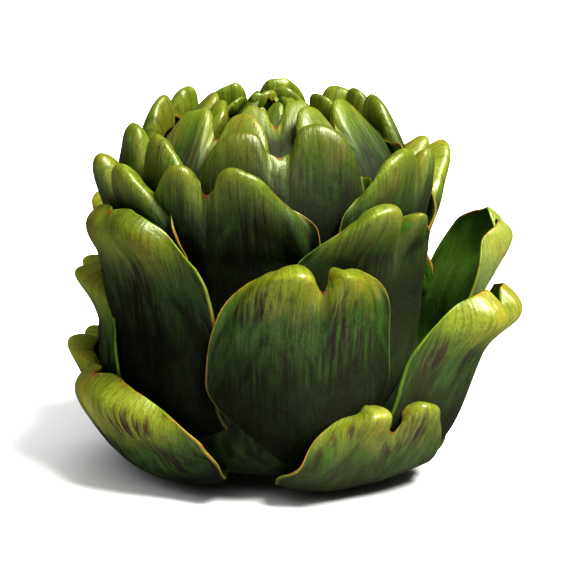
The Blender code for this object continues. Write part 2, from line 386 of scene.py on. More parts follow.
@dataclass(frozen=True)
class GridForm:
    """How closely a bract's grid is laid, with its row distances at the tip in millimetres."""

    columns: int
    tip_step: float
    body_rows: int
    first_rows: tuple[float, ...] = (0.0, 0.08, 0.2, 0.4)
    tip_start: float = 0.8
    tip_end: float = 12.0
    body_power: float = 1.25


BROAD_GRID = GridForm(columns=77, tip_step=0.55, body_rows=38)
SLIM_GRID = GridForm(columns=53, tip_step=0.7, body_rows=24)


@dataclass(frozen=True)
class BladeForm:
    """The shape that every bract has: a shield with two puffed lobes at its tip and thin margins.

    Fields that end in power are exponents, and those of a size say how fast a form shrinks with its bract.
    """

    broad_from: float = 18.0 * MM
    shoulder_drop: float = 28.0 * MM
    longest_drop: float = 0.8
    lopsidedness: float = 0.08
    steepest: float = 2.0
    shoulder_power: float = 2.15
    inner_squareness: float = 1.5
    flat_from: float = 122.0
    flat_to: float = 150.0
    flatness: float = 0.6
    curl_fade: float = 0.65
    inner_curl: float = 0.25
    least_curl: float = 0.01
    inner_peaks: float = 1.5 * MM
    peak_place: float = 0.55
    peak_spread: float = 0.3
    skew_cleft: float = 4.5 * MM
    skewed_drop: float = 0.16
    skewed_power: float = 0.1
    knuckle_rise: float = 1.8 * MM
    knuckle_place: float = 0.5
    knuckle_spread: float = 0.28
    broad_notch: float = 0.35
    broad_loss: float = 0.7
    broad_half: float = 4.5 * MM
    broad_size_power: float = 1.5
    notch_depth: float = 7.0 * MM
    notch_size_power: float = 0.8
    notch_half: float = 1.7 * MM
    slit_softness: float = 0.3 * MM
    slit_size_power: float = 0.6
    gap_half: float = 2.6 * MM
    gap_power: float = 2.2
    unevenness: float = 1.0 * MM
    uneven_half: float = 4.0 * MM
    nibble: float = 0.25 * MM
    nibble_wave: float = 6.0 * MM
    bow: float = 0.5 * MM
    bow_wave: float = 25.0 * MM
    narrowing: float = 0.8
    narrowing_start: float = 0.6
    thickness: float = 2.0 * MM
    margin_thickness: float = 0.8 * MM
    margin_taper: float = 8.0 * MM
    margin_rounding: float = 0.5 * MM
    plump_size_power: float = 0.6
    puff: float = 2.8 * MM
    puff_power: int = 5
    puff_tilt: float = 0.25
    puff_peak: float = 9.0 * MM
    puff_length: float = 28.0 * MM
    lobe_height: float = 5.5 * MM
    lobe_offset: float = 0.22
    lobe_spread: float = 0.3
    lobe_power: float = 4.0
    gap_offset: float = 0.34
    inner_offset: float = 0.2
    inner_spread: float = 1.2
    lobe_level: float = 8.0 * MM
    lobe_length: float = 7.0 * MM
    valley_depth: float = 2.5 * MM
    valley_half: float = 2.8 * MM
    valley_length: float = 15.0 * MM
    valley_fade: float = 1.2
    valley_softness: float = 0.4 * MM
    valley_power: float = 1.15
    least_valley: float = 0.3
    flare_from: float = 26.0 * MM
    flare_to: float = 44.0 * MM
    roll_length: float = 15.0 * MM
    roll_size_power: float = 0.7
    roll_angle: float = 125.0
    notch_roll: float = 0.75
    edge_dip: float = 0.6 * MM
    dip_power: int = 4
    fold_height: float = 0.35 * MM
    fold_wave: float = 17.0 * MM
    fold_stretch: float = 0.6
    creases: int = 5
    crease_start_fade: float = 8.0 * MM
    crease_end_fade: float = 12.0 * MM
    cup_per_lean: float = 0.015
    least_outward: float = 0.2
    tightest_bend: float = 1.05
    lowest_level: float = 0.6 * MM
    pressed: float = 0.8 * MM
    clearance: float = 0.5 * MM
    most_push: float = 5.0 * MM
    exposed_from: float = 34.0 * MM
    exposed_to: float = 46.0 * MM
    push_spread: int = 5
    push_blur: int = 4
    column_crowding: float = 0.75
    level_scatter: float = 0.25
    shade_scatter: float = 0.15
    grain_range: float = 400.0

    # Limits of what is drawn for each crease, the first in half widths and the others in millimetres
    crease_place: tuple[float, float] = (-0.85, 0.85)
    crease_half: tuple[float, float] = (1.3, 3.2)
    crease_start: tuple[float, float] = (2.0, 12.0)
    crease_end: tuple[float, float] = (25.0, 50.0)
    crease_height: tuple[float, float] = (-0.55, 0.45)


class Bract:
    """One bract: its two faces on a grid, joined at a rounded margin."""

    def __init__(self, place: BractPlace, head: HeadForm, blade: BladeForm) -> None:
        """Draws what sets this bract apart, and lays out its grid.

        Args:
            place: Where it stands.
            head: The form of the head.
            blade: The shape shared by all bracts.
        """
        self.place, self.head, self.blade = place, head, blade
        self.draw = np.random.default_rng(1000 + place.number)
        self.along, self.r, self.z, self.nr, self.nz = head.midrib(place.tip_angle)
        self.length = self.along[-1]
        self.u, self.w = self._grid()

    def _grid(self) -> tuple[Array, Array]:
        """Spaces the columns closely at notch and side margins, and the rows closely at the tip."""
        size = self.place.size
        grid = BROAD_GRID if self.place.half_width > self.blade.broad_from else SLIM_GRID
        x = np.linspace(-1.0, 1.0, grid.columns)
        u = x - self.blade.column_crowding / (2.0 * math.pi) * np.sin(2.0 * math.pi * x)
        first = np.array(grid.first_rows) * MM
        tip = np.arange(grid.tip_start, grid.tip_end, grid.tip_step) * MM * size
        body = np.linspace(0.0, 1.0, grid.body_rows)[1:] ** grid.body_power
        rest = tip[-1] + (self.length - tip[-1]) * body
        return np.meshgrid(u, np.concatenate([first * size, tip, rest]))

    def _drawn(self, limits: tuple[float, float]) -> float:
        """Draws a length for this bract's size, between limits in millimetres."""
        return self.draw.uniform(*limits) * MM * self.place.size

    def _wobble(self, x: Array, y: Array, wave: float, count: int = 5) -> Array:
        """Sums slanted sine waves of drawn directions and phases, about wave long, to a height of about 1."""
        total = np.zeros_like(x)
        for _ in range(count):
            turn, phase = self.draw.uniform(0.0, 2.0 * math.pi, 2)
            k = 2.0 * math.pi / (wave * self.draw.uniform(0.75, 1.4))
            total = total + np.sin(k * (x * math.cos(turn) + y * math.sin(turn)) + phase)
        return total / math.sqrt(count)

    def _outline(self) -> tuple[Array, Array, Array, Array]:
        """Works out the flat bract: a superelliptic arch, notched at its top, whose sides narrow to the root.

        Returns:
            The distance across, the distance below the tip, the distance in from the tip edge measured square
            to it, and the edge's slope.
        """
        blade, place, size = self.blade, self.place, self.place.size
        across = self.u * place.half_width
        side = np.abs(self.u)
        skew = self.u * place.growth.cleft / blade.skew_cleft
        power = blade.shoulder_power + blade.inner_squareness * (1.0 - size)
        power = power * (1.0 + blade.skewed_power * skew)
        arch = 1.0 - (1.0 - side**power) ** (1.0 / power)
        flat = smoothstep(place.tip_angle, blade.flat_from, blade.flat_to)
        drop = min(blade.shoulder_drop * size, blade.longest_drop * self.length)
        drop = drop * (1.0 - blade.flatness * flat)
        drop = drop * (1.0 - blade.skewed_drop * skew)
        edge = drop * arch * (1.0 + blade.lopsidedness * self.draw.uniform(-1.0, 1.0) * self.u)
        slope = np.clip(np.gradient(edge[0], across[0])[None, :], -blade.steepest, blade.steepest)
        gap = place.growth.gap
        self.aside = across - place.growth.cleft
        from_slit = np.hypot(self.aside, blade.slit_softness) - blade.slit_softness
        slit = from_slit / ((blade.notch_half + blade.gap_half * gap) * size**blade.slit_size_power)
        self.slit = np.exp(-(slit ** (1.0 + blade.gap_power * gap)))
        curl = math.radians(blade.roll_angle) * place.growth.roll
        fade = smoothstep(side, blade.curl_fade + blade.inner_curl * flat, 1.0)
        self.curl = curl * (1.0 - blade.notch_roll * self.slit) * (1.0 - fade) + blade.least_curl
        self.roll = blade.roll_length * size**blade.roll_size_power
        rolled_in = np.sin(np.minimum(self.curl, 0.5 * math.pi)) / self.curl
        edge = edge + self.roll * (rolled_in - math.sin(min(curl, 0.5 * math.pi)) / curl)
        edge = edge - blade.inner_peaks * (1.0 - size) * hump(side, blade.peak_place, blade.peak_spread)
        broad = blade.broad_notch * (1.0 - blade.broad_loss * gap)
        broad_half = blade.broad_half * size**blade.broad_size_power
        notch = (1.0 - broad) * self.slit + broad * hump(self.aside, 0.0, broad_half)
        knuckles = hump(np.abs(self.aside) / place.half_width, blade.knuckle_place, blade.knuckle_spread)
        edge = edge - blade.knuckle_rise * gap * knuckles
        edge = edge + blade.notch_depth * size**blade.notch_size_power * place.growth.notch * notch
        uneven = self.draw.uniform(-1.0, 1.0) * blade.unevenness * size
        edge = edge + uneven * np.tanh(self.aside / (blade.uneven_half * size))
        nibbled = blade.nibble * self._wobble(across, np.zeros_like(across), blade.nibble_wave, 3)
        edge = edge + nibbled * smoothstep(side, 0.1, 0.3)
        below = edge + self.w * (1.0 - edge / self.length)
        inset = self.w * (1.0 - edge / self.length) / np.sqrt(1.0 + slope**2)
        narrow = smoothstep(below / self.length, blade.narrowing_start, 1.0)
        across = across * (1.0 - blade.narrowing * place.growth.waist * narrow)
        bow = blade.bow * self._wobble(below, np.zeros_like(below), blade.bow_wave, 2)
        across = across + bow * smoothstep(side, 0.6, 1.0) * np.sign(self.u)
        across = across + math.tan(math.radians(place.growth.twist)) * below
        return across, below, inset, slope + 0.0 * below

    def _folds(self, across: Array, below: Array) -> Array:
        """Heights of the soft lengthwise folds, dents and buckles of one bract."""
        blade = self.blade
        folds = self._wobble(across, blade.fold_stretch * below, blade.fold_wave)
        height = blade.fold_height * self.place.size * folds
        for _ in range(blade.creases):
            middle = self.draw.uniform(*blade.crease_place) * self.place.half_width
            spread = self._drawn(blade.crease_half)
            start, end = self._drawn(blade.crease_start), self._drawn(blade.crease_end)
            begun = smoothstep(below, start, start + blade.crease_start_fade)
            window = begun * (1.0 - smoothstep(below, end - blade.crease_end_fade, end))
            height = height + self._drawn(blade.crease_height) * hump(across, middle, spread) * window
        return height

    def _relief(self, across: Array, below: Array) -> Array:
        """Heights over the layer: a puffed top, two plump lobes with a valley between, and margins that dip."""
        blade, size, growth = self.blade, self.place.size, self.place.growth
        plump, deep = size**blade.plump_size_power, below / size
        x = np.abs(self.u)
        rise = smoothstep(blade.puff_length - deep, 0.0, blade.puff_length - blade.puff_peak)
        tilted = 1.0 + blade.puff_tilt * self.draw.uniform(-1.0, 1.0) * self.u
        puff = blade.puff * plump * rise * (1.0 - x**blade.puff_power) * tilted
        along = hump(deep, blade.lobe_level, blade.lobe_length)
        from_cleft = np.abs(self.aside) / (self.place.half_width - np.sign(self.aside) * growth.cleft)
        offset = blade.lobe_offset + blade.gap_offset * growth.gap + blade.inner_offset * (1.0 - size)
        spread = blade.lobe_spread + blade.inner_spread * (1.0 - size)
        pillow = np.exp(-(np.abs((from_cleft - offset) / spread) ** blade.lobe_power))
        lobes = blade.lobe_height * plump * growth.lobes * pillow * along
        fade = smoothstep(blade.valley_fade * (blade.valley_length - deep) / blade.valley_length)
        reach = blade.valley_half * plump * (1.0 + growth.gap)
        from_valley = np.hypot(self.aside, blade.valley_softness) - blade.valley_softness
        valley = np.exp(-((from_valley / reach) ** blade.valley_power))
        share = min(1.0, blade.least_valley + (1.0 - blade.least_valley) * growth.notch)
        valley = valley * blade.valley_depth * plump * fade * share
        upper = 1.0 - smoothstep(below, blade.flare_from, blade.flare_to)
        flare = growth.flare * smoothstep(-self.u, 0.3, 1.0) * upper
        dip = blade.edge_dip * size * self.u**blade.dip_power
        return puff + lobes - valley - dip + self._folds(across, below) + flare

    def _laid(self, across: Array, below: Array, height: Array) -> Array:
        """Lays flat points on the head: down the midrib, bent across it, leaned out and turned to the azimuth.

        Args:
            across: Distance across from the midrib.
            below: Distance below the tip.
            height: Height over the bract's layer.

        Returns:
            The points, three numbers each.
        """
        s = self.length - below
        r, z, nr, nz = (np.interp(s, self.along, line) for line in (self.r, self.z, self.nr, self.nz))
        beyond = np.maximum(s - self.length, 0.0)
        r, z = r - beyond * nz, z + beyond * nr
        lean = self.place.lean
        bend = (1.0 - self.blade.cup_per_lean * lean) * r / np.maximum(nr, self.blade.least_outward)
        bend = np.maximum(bend, self.blade.tightest_bend * self.place.half_width)
        aside = bend * np.sin(across / bend)
        out = height - bend * (1.0 - np.cos(across / bend))
        dr, dz = r + out * nr - self.r[0], z + out * nz - self.z[0]
        tilt = math.radians(lean)
        r = self.r[0] + dr * math.cos(tilt) + dz * math.sin(tilt)
        z = self.z[0] - dr * math.sin(tilt) + dz * math.cos(tilt)
        a = math.radians(self.place.azimuth)
        x = r * math.sin(a) + aside * math.cos(a)
        y = aside * math.sin(a) - r * math.cos(a)
        return np.stack([x, y, z], axis=-1)

    def _above_table(self, points: Array) -> Array:
        """Raises what is near or under the table smoothly, as a soft bract flattens where it lies."""
        over = (points[..., 2] - self.blade.lowest_level) / self.blade.pressed
        raised = np.logaddexp(0.0, over) * self.blade.pressed + self.blade.lowest_level
        return np.concatenate([points[..., :2], raised[..., None]], axis=-1)

    def lay(self, crowding: Crowding) -> None:
        """Works out both faces, pushes them out where inner bracts are in the way, and takes their place.

        Args:
            crowding: The bracts already laid.
        """
        blade, size = self.blade, self.place.size
        across, below, inset, slope = self._outline()
        side_inset = (1.0 - np.abs(self.u)) * self.place.half_width
        margin = np.minimum(inset, side_inset)
        margin[-1] = 0.0
        rounding = np.sqrt(1.0 - (1.0 - np.clip(margin / blade.margin_rounding, 0.0, 1.0)) ** 2)
        full = blade.thickness * size
        tapered = smoothstep(margin, 0.0, blade.margin_taper * size)
        thick = blade.margin_thickness + (full - blade.margin_thickness) * tapered
        skin = 0.5 * (full - thick * rounding)
        height = self._relief(across, below)

        # The roll curls the tip edge inwards along an arc
        bend = self.roll / self.curl
        turned = np.clip(self.roll - inset, 0.0, self.roll) / bend
        scale = np.sqrt(1.0 + slope**2)
        faces = []
        for depth in (skin, full - skin):
            drop = bend - (bend - depth) * np.cos(turned)
            shift = bend * turned - (bend - depth) * np.sin(turned)
            faces.append(self._laid(across - slope / scale * shift, below + shift / scale, height - drop))
        outer, inner = faces

        # Pushed outwards, most where an inner bract stands proud
        exposed = 1.0 - smoothstep(self.w, blade.exposed_from * size, blade.exposed_to * size)
        lack = np.minimum(crowding.shortfall(inner, blade.clearance), blade.most_push) * exposed
        lack = blurred(np.maximum(lack, blurred(lack, blade.push_spread)), blade.push_blur)
        middle = np.array([0.0, 0.0, crowding.middle])
        direction = (outer - middle) / np.linalg.norm(outer - middle, axis=-1, keepdims=True)
        self.outer = self._above_table(outer + direction * lack[..., None])
        self.inner = self._above_table(inner + direction * lack[..., None])
        crowding.add(self.outer)
        self.across, self.below, self.margin, self.height = across, below, margin, height

    def build(self) -> bpy.types.Object:
        """Joins the two faces along their shared margin into one closed mesh.

        Returns:
            The bract's object, with the attributes that its skin reads.
        """
        rows, columns = self.u.shape
        count = rows * columns
        outer = np.arange(count).reshape(rows, columns)
        hidden = np.zeros((rows, columns), bool)
        hidden[1:-1, 1:-1] = True
        inner = outer.copy()
        inner[hidden] = count + np.arange(hidden.sum())
        points = np.concatenate([self.outer.reshape(-1, 3), self.inner[hidden]])

        def quads(grid: Array) -> Array:
            """The four corners of each cell of a grid of vertex numbers."""
            corners = [grid[:-1, :-1], grid[1:, :-1], grid[1:, 1:], grid[:-1, 1:]]
            return np.stack(corners, axis=-1).reshape(-1, 4)

        faces = np.concatenate([quads(outer), quads(inner)[:, ::-1]])
        made = new_mesh_object(f"bract_{self.place.number - Spiral.first + 1:02d}", points, faces)

        def both(values: Array) -> Array:
            """A value of the grid for the outer face's vertices, then for the inner face's."""
            return np.concatenate([values.ravel(), values[hidden]])

        blade, place = self.blade, self.place
        seed = self.draw.uniform(0.0, blade.grain_range, 2)
        grain = [both(self.across) / MM + seed[0], both(self.w) / MM + seed[1], both(self.height) / MM]
        add_attribute(made, "grain", np.stack(grain, axis=-1))
        add_attribute(made, "cleft", both(self.aside) / MM)
        add_attribute(made, "below", both(self.below) / MM / place.size**0.5)
        add_attribute(made, "inward", both(self.w) / MM)
        add_attribute(made, "margin", both(self.margin) / MM)
        level = place.level + self.draw.uniform(-blade.level_scatter, blade.level_scatter)
        shade = place.growth.shade + self.draw.uniform(-blade.shade_scatter, blade.shade_scatter)
        add_attribute(made, "level", np.full(len(points), level))
        add_attribute(made, "shade", np.full(len(points), shade))
        add_attribute(made, "inside", np.concatenate([np.zeros(count), np.ones(int(hidden.sum()))]))
        return made


class Graph:
    """A material's node tree, written as sums on its sockets."""

    def __init__(self, name: str) -> None:
        """Starts a material with a Principled shader."""
        self.material = bpy.data.materials.new(name)
        self.material.use_nodes = True
        self.tree = self.material.node_tree
        self.shader = self.tree.nodes["Principled BSDF"]

    def _feed(self, socket: Socket, value: Socket | float | tuple) -> None:
        """Links a socket, or sets its number or colour."""
        if isinstance(value, bpy.types.NodeSocket):
            self.tree.links.new(value, socket)
        elif isinstance(value, tuple) and socket.type == "RGBA":
            socket.default_value = (*value, 1.0)
        else:
            socket.default_value = value

    def attribute(self, name: str, output: str = "Fac") -> Socket:
        """Reads an attribute of the mesh."""
        node = self.tree.nodes.new("ShaderNodeAttribute")
        node.attribute_name = name
        return node.outputs[output]

    def maths(self, kind: str, a: Socket | float, b: Socket | float = 0.0) -> Socket:
        """One sum on one or two values."""
        node = self.tree.nodes.new("ShaderNodeMath")
        node.operation = kind
        self._feed(node.inputs[0], a)
        self._feed(node.inputs[1], b)
        return node.outputs[0]

    def times(self, *values: Socket | float) -> Socket:
        """The product of several values."""
        total = values[0]
        for value in values[1:]:
            total = self.maths("MULTIPLY", total, value)
        return total

    def step(self, value: Socket, low: float, high: float, start: float = 0.0, end: float = 1.0) -> Socket:
        """Goes smoothly from start to end as the value goes from low to high."""
        node = self.tree.nodes.new("ShaderNodeMapRange")
        node.interpolation_type = "SMOOTHSTEP"
        node.clamp = True
        for socket, number in zip(node.inputs, (value, low, high, start, end)):
            self._feed(socket, number)
        return node.outputs[0]

    def swing(self, value: Socket, height: float) -> Socket:
        """How far a value of 0 to 1 lies from its middle, times a height."""
        return self.times(self.maths("SUBTRACT", value, 0.5), height)

    def stretched(self, vector: Socket, x: float, y: float, z: float) -> Socket:
        """Scales a vector's three parts."""
        node = self.tree.nodes.new("ShaderNodeVectorMath")
        node.operation = "MULTIPLY"
        self._feed(node.inputs[0], vector)
        node.inputs[1].default_value = (x, y, z)
        return node.outputs[0]

    def noise(
        self, vector: Socket, scale: float, detail: float = 2.0, roughness: float = 0.5, warp: float = 0.0
    ) -> Socket:
        """Smooth noise of about 0 to 1."""
        node = self.tree.nodes.new("ShaderNodeTexNoise")
        self._feed(node.inputs["Vector"], vector)
        names = ("Scale", "Detail", "Roughness", "Distortion")
        for name, number in zip(names, (scale, detail, roughness, warp)):
            node.inputs[name].default_value = number
        return node.outputs["Fac"]

    def cells(self, vector: Socket, scale: float) -> Socket:
        """The distance to the nearest of many scattered points."""
        node = self.tree.nodes.new("ShaderNodeTexVoronoi")
        self._feed(node.inputs["Vector"], vector)
        node.inputs["Scale"].default_value = scale
        return node.outputs["Distance"]

    def mix(
        self, share: Socket | float, first: Socket | Colour, second: Socket | Colour, blend: str = "MIX"
    ) -> Socket:
        """Mixes two colours by a share."""
        node = self.tree.nodes.new("ShaderNodeMix")
        node.data_type = "RGBA"
        node.blend_type = blend
        self._feed(node.inputs[0], share)
        self._feed(node.inputs[6], first)
        self._feed(node.inputs[7], second)
        return node.outputs[2]

    def bump(self, height: Socket, distance: float, strength: float = 1.0) -> None:
        """Turns a height into the shader's normal."""
        node = self.tree.nodes.new("ShaderNodeBump")
        node.inputs["Strength"].default_value = strength
        node.inputs["Distance"].default_value = distance
        self._feed(node.inputs["Height"], height)
        self.tree.links.new(node.outputs[0], self.shader.inputs["Normal"])

    def dress(self, **inputs: Socket | float | Colour) -> bpy.types.Material:
        """Sets the shader's inputs, named with underscores for spaces, and gives the finished material."""
        for name, value in inputs.items():
            self._feed(self.shader.inputs[name.replace("_", " ")], value)
        return self.material


@dataclass(frozen=True)
class BractSkin:
    """Waxy green skin: olive lobes, streaked purple brown middles, and thin lime or ochre margins, with painted
    shade near the base and on some bracts, and painted highlight and sheen in some pale patches.
    """

    deep: Colour = linear(32, 56, 7)
    leaf: Colour = linear(64, 98, 20)
    olive: Colour = linear(122, 130, 34)
    ochre: Colour = linear(148, 116, 34)
    pale: Colour = linear(160, 166, 84)
    bloom_and_sheen: Colour = linear(88, 114, 58)
    purple: Colour = linear(62, 24, 38)
    painted_shade_dark: Colour = linear(5, 13, 1)
    lime: Colour = linear(98, 128, 24)
    rust: Colour = linear(116, 50, 24)
    scar: Colour = linear(86, 58, 34)
    inner_green: Colour = linear(74, 130, 12)
    sage: Colour = linear(146, 156, 98)
    vein_tint: Colour = (0.36, 0.4, 0.3)
    shadow_tint: Colour = (0.25, 0.3, 0.15)
    gloss: float = 0.68
    gloss_tint: Colour = (0.97, 1.0, 0.8)

    def material(self) -> bpy.types.Material:
        """Builds the skin from its colours and the bract's own attributes, in millimetres.

        Returns:
            The material.
        """
        g = Graph("bract_skin")
        grain = g.attribute("grain", "Vector")
        below, inward, margin = g.attribute("below"), g.attribute("inward"), g.attribute("margin")
        fibres = g.noise(g.stretched(grain, 1.7, 0.06, 0.0), 1.0, 3.0, 0.6)
        streaks = g.noise(g.stretched(grain, 0.75, 0.055, 0.0), 1.0, 4.0, 0.68, 0.25)
        patches = g.noise(g.stretched(grain, 0.075, 0.055, 0.0), 1.0, 2.0)
        clouds = g.noise(g.stretched(grain, 0.15, 0.1, 0.0), 1.0, 4.0, 0.6, 0.5)
        mottle = g.noise(grain, 0.8, 3.0, 0.65)

        level = g.attribute("level")
        skin = self._ground(g, clouds, streaks, patches, self._lowered(g, below, level, 4.0))
        streaked = g.maths("ADD", below, g.step(level, 0.0, 0.3, 9.0, 0.0))
        skin = self._streaked(g, skin, streaks, patches, streaked, margin)
        skin = self._lobed(g, skin, clouds, mottle, below)
        # Painted shade: the skin darkens to near black towards each bract's base, sooner on the inner bracts,
        # where bracts sink into the shade between others.
        root = g.maths("ADD", g.step(level, 0.2, 0.7, 0.0, 13.0), g.swing(streaks, 26.0))
        root = g.step(g.maths("ADD", below, root), 20.0, 46.0)
        skin = g.mix(g.times(root, 0.88), skin, self.painted_shade_dark)
        veins = g.mix(1.0, skin, self.vein_tint, "MULTIPLY")
        skin = g.mix(g.step(fibres, 0.46, 0.66, 0.0, 0.6), skin, veins)
        dust = g.noise(g.stretched(grain, 2.2, 0.7, 0.0), 1.0, 3.0, 0.7)
        skin = g.mix(g.step(dust, 0.54, 0.36, 0.0, 0.45), skin, veins)
        inner = g.mix(g.step(fibres, 0.3, 0.7), self.inner_green, self.leaf)
        skin = g.mix(g.times(g.attribute("inside"), g.step(inward, 0.0, 2.5)), skin, inner)
        # Painted shade: a negative shade darkens a bract by the shadow tint; a positive shade mixes in pale
        # sage, partly the skin's own tone and partly painted light.
        shade = g.attribute("shade")
        skin = g.mix(g.step(shade, 0.0, -1.0), skin, g.mix(1.0, skin, self.shadow_tint, "MULTIPLY"))
        skin = g.mix(g.step(shade, 0.0, 1.0, 0.0, 0.75), skin, self.sage)
        skin = self._edged(g, skin, patches, mottle, inward, margin)

        dimples = g.noise(g.stretched(grain, 0.32, 0.2, 0.0), 1.0, 2.0)
        height = g.maths("ADD", g.times(fibres, 0.55), g.times(mottle, 0.4))
        g.bump(g.maths("ADD", height, g.times(dimples, 1.6)), 0.3 * MM, 0.7)
        rough = g.maths("ADD", g.step(clouds, 0.3, 0.7, 0.42, 0.29), g.swing(fibres, 0.2))
        rough = g.maths("ADD", rough, g.step(self._lowered(g, below, level, 6.0), 12.0, 34.0, 0.0, 0.4))
        return g.dress(
            Base_Color=skin, Roughness=rough, Specular_IOR_Level=self.gloss, Specular_Tint=self.gloss_tint
        )

    @staticmethod
    def _lowered(g: Graph, below: Socket, level: Socket, extra: float) -> Socket:
        """The distance below the tip, counted extra millimetres further on the inner bracts."""
        return g.maths("ADD", below, g.step(level, 0.2, 0.7, 0.0, extra))

    def _ground(self, g: Graph, clouds: Socket, streaks: Socket, patches: Socket, below: Socket) -> Socket:
        """Mixes the greens of the skin: deep and leaf green in clouds, with grey-green patches in streaks that
        are partly waxy bloom and partly painted sheen.
        """
        skin = g.mix(g.step(clouds, 0.34, 0.66), self.deep, self.leaf)
        # Grey-green patches: partly the skin's waxy bloom, partly painted sheen.
        bloom_and_sheen = g.times(g.step(streaks, 0.42, 0.66), g.step(patches, 0.48, 0.64))
        skin = g.mix(g.times(bloom_and_sheen, 0.75), skin, self.bloom_and_sheen)
        tip = g.step(g.maths("ADD", below, g.swing(clouds, 26.0)), 10.0, 28.0, 1.0, 0.0)
        olive = g.mix(g.step(patches, 0.46, 0.62), self.olive, g.mix(0.35, self.olive, self.ochre))
        return g.mix(g.times(tip, g.step(g.attribute("level"), 0.2, 1.1, 0.9, 0.45)), skin, olive)

    def _streaked(
        self, g: Graph, skin: Socket, streaks: Socket, patches: Socket, below: Socket, margin: Socket
    ) -> Socket:
        """Adds purple brown streaks along the middle and lower skin, away from the side margins."""
        zone = g.times(g.step(below, 12.0, 26.0), g.step(margin, 2.0, 7.0), g.step(patches, 0.54, 0.42))
        fine = g.times(g.step(streaks, 0.46, 0.58), zone, 0.92)
        haze = g.times(g.step(streaks, 0.36, 0.6), zone, 0.2)
        skin = g.mix(haze, skin, self.purple)
        return g.mix(fine, skin, self.purple)

    def _lobed(self, g: Graph, skin: Socket, clouds: Socket, mottle: Socket, below: Socket) -> Socket:
        """Adds pale patches on the lobes, partly waxy bloom and partly painted highlight, a pale fold under the
        notch, and small scars.
        """
        # Pale lobe patches near the tip: partly waxy bloom, partly painted highlight on the lit lobe tops.
        wax_and_highlight = g.times(g.step(clouds, 0.5, 0.72), g.step(below, 8.0, 20.0, 1.0, 0.0))
        skin = g.mix(g.times(wax_and_highlight, 0.5), skin, self.pale)
        cleft = g.maths("ABSOLUTE", g.attribute("cleft"))
        near = g.step(g.maths("SUBTRACT", cleft, g.times(below, 0.12)), 0.5, 3.5, 1.0, 0.0)
        fold = g.times(near, g.step(below, 8.0, 12.0), g.step(below, 14.0, 26.0, 1.0, 0.0))
        skin = g.mix(g.times(fold, 0.25), skin, self.pale)
        spots = g.cells(g.stretched(g.attribute("grain", "Vector"), 1.0, 0.6, 0.0), 0.13)
        scars = g.step(spots, 0.06, 0.16, 1.0, 0.0)
        return g.mix(g.times(scars, g.step(mottle, 0.42, 0.58), 0.75), skin, self.scar)

    def _edged(
        self, g: Graph, skin: Socket, patches: Socket, mottle: Socket, inward: Socket, margin: Socket
    ) -> Socket:
        """Draws the margin's thin line in lime and ochre, rust where it dried, and the notch's brown fringe."""
        line = g.step(g.maths("ADD", margin, g.swing(mottle, 1.2)), 0.1, 0.75, 1.0, 0.0)
        tint = g.mix(g.step(patches, 0.46, 0.56), self.lime, self.ochre)
        line = g.times(line, g.step(g.attribute("below"), 30.0, 55.0, 1.0, 0.3))
        skin = g.mix(g.times(line, g.step(mottle, 0.3, 0.55, 0.35, 0.95)), skin, tint)
        dried = g.times(g.step(mottle, 0.56, 0.66), g.step(margin, 0.3, 1.0, 1.0, 0.0))
        skin = g.mix(g.times(dried, 0.85), skin, self.rust)
        cleft = g.maths("ABSOLUTE", g.attribute("cleft"))
        fringe = g.times(g.step(cleft, 0.4, 1.5, 1.0, 0.0), g.step(inward, 0.4, 2.4, 1.0, 0.0))
        return g.mix(g.times(fringe, g.step(mottle, 0.3, 0.5, 0.4, 0.9)), skin, self.rust)


@dataclass(frozen=True)
class ReceptacleFlesh:
    """The receptacle's flesh, coloured near black as painted shade in the gaps between the bracts."""

    colour: Colour = linear(24, 36, 14)
    streak: Colour = linear(44, 58, 22)

    def material(self) -> bpy.types.Material:
        """Builds the flesh with faint lengthwise streaks."""
        g = Graph("receptacle_painted_shade")
        coordinates = g.tree.nodes.new("ShaderNodeTexCoord").outputs["Object"]
        streaks = g.noise(g.stretched(coordinates, 400.0, 400.0, 60.0), 1.0, 2.0)
        return g.dress(Base_Color=g.mix(g.step(streaks, 0.3, 0.7), self.colour, self.streak), Roughness=0.7)


